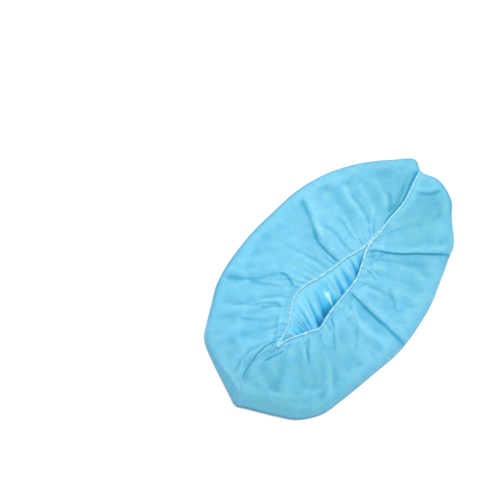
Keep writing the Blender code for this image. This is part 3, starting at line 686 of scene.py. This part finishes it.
def straightThread(offset, radius, sides, length, turns, steps):
    # A circle drawn out along X, straight or wound round the axis at the offset
    deselectAll()
    bpy.ops.mesh.primitive_circle_add(vertices=sides, radius=radius, location=(0, 0, 0))
    thread = bpy.context.active_object
    bpy.ops.object.mode_set(mode="EDIT")
    bpy.ops.mesh.select_all(action="SELECT")
    if turns:
        bpy.ops.transform.translate(value=(0, offset, 0))
    else:
        bpy.ops.transform.rotate(value=math.pi / 2, orient_axis="Y", center_override=(0, 0, 0))
    bpy.ops.object.mode_set(mode="OBJECT")
    drawn = thread.modifiers.new("drawn", "SCREW")
    drawn.axis = "X"
    drawn.angle = math.tau if turns else 0.0
    drawn.screw_offset = length / max(turns, 1)
    drawn.iterations = max(turns, 1)
    drawn.steps = drawn.render_steps = steps
    applyAll(thread)
    return thread


def sewAlong(name, path, closed, values):
    # A core with thread wound round it, drawn straight, flattened and laid along a path
    points = np.vstack([path, path[:1]]) if closed else path
    length = float(np.linalg.norm(np.diff(points, axis=0), axis=1).sum())
    line = bpy.data.curves.new(name + "_path", "CURVE")
    line.dimensions = "3D"
    line.twist_mode = "Z_UP"
    line.use_stretch = line.use_deform_bounds = True
    spline = line.splines.new("POLY")
    spline.points.add(len(path) - 1)
    spline.points.foreach_set("co", np.column_stack([path, np.ones(len(path))]).ravel())
    spline.use_cyclic_u = closed
    guide = bpy.data.objects.new(name + "_path", line)
    bpy.context.scene.collection.objects.link(guide)

    steps = round(length / values["step"])
    piece = straightThread(0.0, values["halfWidth"], values["sides"], length, 0, steps)
    if values["thread"]:
        turns = round(length / values["pitch"])
        reach = values["halfWidth"] + values["thread"] * 0.5
        winding = straightThread(reach, values["thread"], 5, length, turns, values["perTurn"])
        winding.select_set(True)
        piece.select_set(True)
        bpy.context.view_layer.objects.active = piece
        bpy.ops.object.join()
    piece.name = piece.data.name = name
    for corner in piece.data.vertices:                      # flatter, and uneven along its way
        place = corner.co.x * 1000
        uneven = math.sin(place / 3.1) * math.sin(place / 7.7 + 1.0) + 0.6 * math.sin(place / 1.7 + 0.4)
        swell = 1 + values["uneven"] * uneven
        if closed:
            swell = 1 + (swell - 1) * min(1.0, corner.co.x / 0.004, (length - corner.co.x) / 0.004)
        corner.co.y *= swell
        corner.co.z *= swell * values["flatness"]
    laid = piece.modifiers.new("laid", "CURVE")
    laid.object = guide
    laid.deform_axis = "POS_X"
    applyAll(piece)
    bpy.data.objects.remove(guide)
    asActive(piece)
    bpy.ops.object.mode_set(mode="EDIT")
    bpy.ops.mesh.select_all(action="SELECT")
    bpy.ops.mesh.remove_doubles(threshold=0.00002)
    bpy.ops.mesh.select_all(action="DESELECT")
    bpy.ops.mesh.select_mode(type="VERT")
    bpy.ops.mesh.select_non_manifold()
    bpy.ops.mesh.fill_holes(sides=0)
    bpy.ops.mesh.select_all(action="SELECT")
    bpy.ops.mesh.normals_make_consistent(inside=False)
    bpy.ops.object.mode_set(mode="OBJECT")
    bpy.ops.object.shade_smooth_by_angle(angle=math.radians(60))
    applyAll(piece)
    return piece


# Pale elastic in the overlocked edge of the opening
elasticEdge = {
    "step": 0.0012, "halfWidth": 0.00125, "flatness": 0.62, "sides": 8, "uneven": 0.13,
    "pitch": 0.0021, "perTurn": 10, "thread": 0.00022, "lift": 0.0007,
}
print("sewing the elastic edge")
rimPath = rings[rimRing] + np.array([0, 0, elasticEdge["lift"]])
elastic = sewAlong("elastic_edge", rimPath, True, elasticEdge)
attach(elastic, "root")
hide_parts("opening_elastic")

# Overlocked seam over the toe
toeStitch = {
    "step": 0.0010, "halfWidth": 0.00105, "flatness": 0.62, "sides": 8, "uneven": 0.10,
    "pitch": 0.0019, "perTurn": 10, "thread": 0.00020, "lift": 0.0005,
}
print("sewing the toe seam")
fromRimDown = rings[rimRing + 1:lastSide + 1]
toePath = np.array([ring[0] for ring in fromRimDown])
toePath[:, 2] += toeStitch["lift"]
toeSeam = sewAlong("toe_overlock", toePath, False, toeStitch)
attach(toeSeam, "root")
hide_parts("toe_seam")

# Welded seam down the heel
heelWeld = {
    "step": 0.0015, "halfWidth": 0.0006, "flatness": 0.8, "sides": 8, "uneven": 0.06,
    "thread": 0, "lift": 0.0002,
}
print("welding the heel seam")
heelPath = np.array([ring[bag["leftColumns"]] for ring in fromRimDown])
heelPath[:, 2] += heelWeld["lift"]
heelSeam = sewAlong("heel_weld_seam", heelPath, False, heelWeld)
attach(heelSeam, "root")
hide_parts("heel_seam")


def addNode(tree, kind, at, **settings):
    node = tree.nodes.new(kind)
    node.location = at
    for key, value in settings.items():
        setattr(node, key, value)
    return node


def mathNode(tree, at, operation, *values):
    node = addNode(tree, "ShaderNodeMath", at, operation=operation)
    for number, value in enumerate(values):
        if isinstance(value, float):
            node.inputs[number].default_value = value
        else:
            tree.links.new(value, node.inputs[number])
    return node.outputs[0]


def noiseNode(tree, at, place, **values):
    node = addNode(tree, "ShaderNodeTexNoise", at)
    for key, value in values.items():
        node.inputs[key].default_value = value
    tree.links.new(place, node.inputs["Vector"])
    return node.outputs["Fac"]


def colourRamp(tree, at, source, stops):
    # A ramp through these positions and colours
    node = addNode(tree, "ShaderNodeValToRGB", at)
    elements = node.color_ramp.elements
    for element, (position, colour) in zip(elements, (stops[0], stops[-1])):
        element.position = position
        element.color = (*colour, 1)
    for position, colour in stops[1:-1]:
        elements.new(position).color = (*colour, 1)
    tree.links.new(source, node.inputs["Fac"])
    return node.outputs["Color"]


def multiplied(tree, at, first, second):
    mix = addNode(tree, "ShaderNodeMix", at, data_type="RGBA", blend_type="MULTIPLY")
    mix.inputs[0].default_value = 1.0
    tree.links.new(first, mix.inputs[6])
    tree.links.new(second, mix.inputs[7])
    return mix.outputs[2]


def storedShare(tree, at, name):
    # A value stored on the sheet from -1 to 1, as a share from 0 to 1
    stored = addNode(tree, "ShaderNodeAttribute", at, attribute_name=name)
    share = addNode(tree, "ShaderNodeMapRange", (at[0] + 200, at[1]))
    share.inputs["From Min"].default_value = -1.0
    share.inputs["From Max"].default_value = 1.0
    tree.links.new(stored.outputs["Fac"], share.inputs["Value"])
    return share.outputs["Result"]


def addBump(tree, at, height, strength, distance):
    bump = addNode(tree, "ShaderNodeBump", at)
    bump.inputs["Strength"].default_value = strength
    bump.inputs["Distance"].default_value = distance
    tree.links.new(height, bump.inputs["Height"])
    tree.links.new(bump.outputs["Normal"], tree.nodes["Principled BSDF"].inputs["Normal"])


def newMaterial(name, **values):
    material = bpy.data.materials.new(name)
    material.use_nodes = True
    shader = material.node_tree.nodes["Principled BSDF"]
    for key, value in values.items():
        shader.inputs[key.replace("_", " ")].default_value = value
    return material, material.node_tree, shader


def webGroup():
    # Spun fibres, bonding points and cloudy thickness of a non-woven, as one group
    group = bpy.data.node_groups.new("spunbond", "ShaderNodeTree")
    group.interface.new_socket("Place", in_out="INPUT", socket_type="NodeSocketVector")
    pitch = group.interface.new_socket("Bond pitch", in_out="INPUT", socket_type="NodeSocketFloat")
    pitch.default_value = 0.0018
    for name in ("Height", "Cloud", "Fibre"):
        group.interface.new_socket(name, in_out="OUTPUT", socket_type="NodeSocketFloat")
    inward = addNode(group, "NodeGroupInput", (-900, 0))
    outward = addNode(group, "NodeGroupOutput", (700, 0))
    place = inward.outputs["Place"]

    turned = addNode(group, "ShaderNodeMapping", (-700, 300))
    turned.inputs["Rotation"].default_value = (0, 0, math.radians(42))
    group.links.new(place, turned.inputs["Vector"])
    split = addNode(group, "ShaderNodeSeparateXYZ", (-520, 300))
    group.links.new(turned.outputs[0], split.inputs[0])
    rows = []
    for axis in (0, 1):
        level = 380 - 160 * axis
        over = mathNode(group, (-360, level), "DIVIDE", split.outputs[axis], inward.outputs["Bond pitch"])
        turn = mathNode(group, (-200, level), "MULTIPLY", over, math.tau)
        rows.append(mathNode(group, (-40, level), "COSINE", turn))
    both = mathNode(group, (120, 300), "ADD", *rows)
    points = addNode(group, "ShaderNodeMapRange", (280, 300), interpolation_type="SMOOTHSTEP")
    for key, value in (("From Min", 0.9), ("From Max", 1.7), ("To Min", 0.0), ("To Max", -0.55)):
        points.inputs[key].default_value = value
    group.links.new(both, points.inputs["Value"])

    fibres = []
    for angle, level in ((18, 0), (-27, -220), (71, -440)):
        laid = addNode(group, "ShaderNodeMapping", (-700, level))
        laid.inputs["Rotation"].default_value = (0, 0, math.radians(angle))
        laid.inputs["Scale"].default_value = (260, 3400, 1)
        group.links.new(place, laid.inputs["Vector"])
        fibres.append(noiseNode(group, (-500, level), laid.outputs[0], Scale=1.0, Detail=1.5, Distortion=0.9))
    most = mathNode(group, (-280, -120), "MAXIMUM", *fibres[:2])
    web = mathNode(group, (-120, -220), "MAXIMUM", most, fibres[2])
    cloud = noiseNode(group, (-500, -680), place, Scale=90.0, Detail=5.0, Roughness=0.62)
    tall = mathNode(group, (300, -60), "ADD", web, points.outputs["Result"])
    for key, value in (("Height", tall), ("Cloud", cloud), ("Fibre", web)):
        group.links.new(value, outward.inputs[key])
    return group


def fabricMaterial(name, look, group):
    # Non-woven: painted shade deepens its colour in creases and hollows and a painted highlight pales it on
    # ridges; it also deepens where the web is thin
    material, tree, shader = newMaterial(
        name, Roughness=look["roughness"], Specular_IOR_Level=look["specular"],
        Sheen_Weight=look["sheen"], Sheen_Roughness=0.45)
    white = (1, 1, 1)
    cut = addNode(tree, "ShaderNodeUVMap", (-1300, 0), uv_map="cut").outputs["UV"]
    web = addNode(tree, "ShaderNodeGroup", (-1080, 0), node_tree=group)
    web.inputs["Bond pitch"].default_value = look["bondPitch"]
    tree.links.new(cut, web.inputs["Place"])
    # Painted shade ramp: a pale painted highlight on ridges, through the plain colour, to dark painted shade
    # in valleys
    depths = ((0, "ridge"), (0.30, "high"), (0.5, "plain"), (0.85, "deep"), (1, "valley"))
    paintedShade = storedShare(tree, (-1080, 320), "paintedShade")
    shade = colourRamp(tree, (-680, 320), paintedShade, [(position, look[key]) for position, key in depths])
    cloudy = colourRamp(tree, (-680, 40), web.outputs["Cloud"], [(0.32, look["thin"]), (0.68, white)])
    mottle = noiseNode(tree, (-900, 800), cut, Scale=95.0, Detail=5.0, Roughness=0.74)
    hue = colourRamp(tree, (-680, 800), mottle, [(0.36, look["mottleBlue"]), (0.64, look["mottleGreen"])])
    between = (0.93, 0.96, 0.97)
    strands = colourRamp(tree, (-680, -220), web.outputs["Fibre"], [(0.45, between), (0.75, white)])
    tone = storedShare(tree, (-1080, 560), "tone")
    tint = colourRamp(tree, (-680, 560), tone, [(0, look["greener"]), (0.5, white), (1, look["bluer"])])
    colour = multiplied(tree, (-380, 240), shade, cloudy)
    for at, layer in (((-280, 480), hue), ((-180, 200), strands), ((0, 240), tint)):
        colour = multiplied(tree, at, colour, layer)
    tree.links.new(colour, shader.inputs["Base Color"])
    tree.links.new(colour, shader.inputs["Emission Color"])            # painted light: a glow standing in for light that comes through the thin cloth and for bounce light
    shader.inputs["Emission Strength"].default_value = look["glow"]
    addBump(tree, (-220, -260), web.outputs["Height"], look["bump"], 0.00012)
    return material


def threadMaterial(name, look):
    # Twisted thread or covered elastic, paler and bluer in patches
    material, tree, shader = newMaterial(
        name, Roughness=look["roughness"], Specular_IOR_Level=0.3, Sheen_Weight=0.2)
    place = addNode(tree, "ShaderNodeTexCoord", (-1000, 0)).outputs["Object"]
    twist = addNode(tree, "ShaderNodeTexWave", (-760, 100), wave_type="BANDS", bands_direction="DIAGONAL")
    twist.inputs["Scale"].default_value = look["twist"]
    twist.inputs["Distortion"].default_value = 2.0
    tree.links.new(place, twist.inputs["Vector"])
    spots = noiseNode(tree, (-760, -200), place, Scale=260.0, Detail=4.0)
    colour = colourRamp(tree, (-520, -200), spots, [(0.35, look["dark"]), (0.65, look["light"])])
    tree.links.new(colour, shader.inputs["Base Color"])
    addBump(tree, (-260, -100), twist.outputs["Fac"], 0.5, 0.0001)
    return material


print("mixing the materials")
outsideLook = {
    "ridge": (0.55, 0.84, 0.90), "high": (0.22, 0.61, 0.80), "plain": (0.19, 0.55, 0.745),
    "deep": (0.05, 0.385, 0.585), "valley": (0.05, 0.28, 0.44),
    "greener": (0.64, 0.82, 0.79), "bluer": (0.33, 0.92, 1.04), "thin": (0.86, 0.93, 0.96),
    "mottleBlue": (0.78, 0.95, 1.03), "mottleGreen": (1.13, 1.03, 0.96),
    "roughness": 0.62, "specular": 0.28, "sheen": 0.25, "glow": 0.10, "bondPitch": 0.0018, "bump": 0.35,
}
# The inside: a brighter, more saturated blue with little painted shade and a stronger glow, painted light for
# the blue light bouncing inside the bag
insideLook = {
    "ridge": (0.30, 0.72, 0.88), "high": (0.18, 0.68, 0.80), "plain": (0.14, 0.65, 0.77),
    "deep": (0.11, 0.60, 0.75), "valley": (0.10, 0.58, 0.74),
    "greener": (0.82, 0.89, 0.86), "bluer": (0.36, 0.92, 1.0), "thin": (0.84, 0.93, 0.97),
    "mottleBlue": (0.86, 0.96, 1.02), "mottleGreen": (1.07, 1.02, 0.965),
    "roughness": 0.66, "specular": 0.25, "sheen": 0.15, "glow": 0.34, "bondPitch": 0.0018, "bump": 0.35,
}
spunbond = webGroup()
fabric.data.materials[0] = fabricMaterial("nonwoven outside", outsideLook, spunbond)
fabric.data.materials[1] = fabricMaterial("nonwoven inside", insideLook, spunbond)
elasticLook = {"dark": (0.21, 0.62, 0.80), "light": (0.46, 0.80, 0.90), "roughness": 0.7, "twist": 900.0}
toeLook = {"dark": (0.26, 0.67, 0.83), "light": (0.42, 0.79, 0.90), "roughness": 0.7, "twist": 900.0}
heelLook = {"dark": (0.15, 0.49, 0.68), "light": (0.20, 0.56, 0.74), "roughness": 0.6, "twist": 500.0}
elastic.data.materials.append(threadMaterial("covered elastic", elasticLook))
toeSeam.data.materials.append(threadMaterial("overlock thread", toeLook))
heelSeam.data.materials.append(threadMaterial("welded edge", heelLook))

# Pale floor
floorValues = {"size": 6.0, "under": -0.0001, "colour": (0.96, 0.96, 0.97)}
deselectAll()
bpy.ops.mesh.primitive_plane_add(size=floorValues["size"], location=(0, 0, floorValues["under"]))
floor = bpy.context.active_object
floor.name = "floor"
floorMaterial, _, floorShader = newMaterial("pale floor", Roughness=0.9, Specular_IOR_Level=0.1)
floorShader.inputs["Base Color"].default_value = (*floorValues["colour"], 1)
floor.data.materials.append(floorMaterial)

# Camera at the photograph's angle: it looks down the line to the object's origin and is
# turned a little about its own middle, so that the origin lies at its place in the frame
view = {
    "azimuth": -50.0, "elevation": 62.0, "distance": 4.542,
    "lens": 300.0, "sensor": 36.0, "frame": 500.0, "originAt": (330.4, 285.9),
}
azimuth, elevation = math.radians(view["azimuth"]), math.radians(view["elevation"])
level = math.cos(elevation)
rightward = Vector((math.cos(azimuth), math.sin(azimuth), 0))
backward = Vector((math.sin(azimuth) * level, -math.cos(azimuth) * level, math.sin(elevation)))
upward = backward.cross(rightward)
facing = Matrix((rightward, upward, backward)).transposed()
pixels = view["lens"] / view["sensor"] * view["frame"]
half = view["frame"] / 2
seen = Vector((view["originAt"][0] - half, half - view["originAt"][1], -pixels)).normalized()
turn = seen.rotation_difference(Vector((0, 0, -1)))
cameraData = bpy.data.cameras.new("camera")
cameraData.lens = view["lens"]
cameraData.sensor_width = view["sensor"]
camera = bpy.data.objects.new("camera", cameraData)
bpy.context.scene.collection.objects.link(camera)
camera.matrix_world = Matrix.Translation(backward * view["distance"]) @ (facing @ turn.to_matrix()).to_4x4()
bpy.context.scene.camera = camera

# Soft studio light: an even pale surrounding and one wide light from behind the toe
lights = {"sky": 0.645, "key": 1.82, "keySize": 38.0, "keyTint": (1.0, 0.99, 0.97)}
world = bpy.data.worlds.new("studio")
bpy.context.scene.world = world
world.use_nodes = True
surrounding = world.node_tree.nodes["Background"]
surrounding.inputs["Color"].default_value = (1.0, 1.0, 1.0, 1)
surrounding.inputs["Strength"].default_value = lights["sky"]
keyData = bpy.data.lights.new("key light", "SUN")
keyData.angle = math.radians(lights["keySize"])
keyData.energy = lights["key"]
keyData.color = lights["keyTint"]
keyLight = bpy.data.objects.new("key light", keyData)
bpy.context.scene.collection.objects.link(keyLight)
keyLight.location = rightward * 0.35 + upward * 0.75 + Vector((0, 0, 1.35))
keyLight.rotation_euler = (-keyLight.location).to_track_quat("-Z", "Y").to_euler()
bpy.context.scene.view_settings.view_transform = "Standard"
print("camera and lights stand")
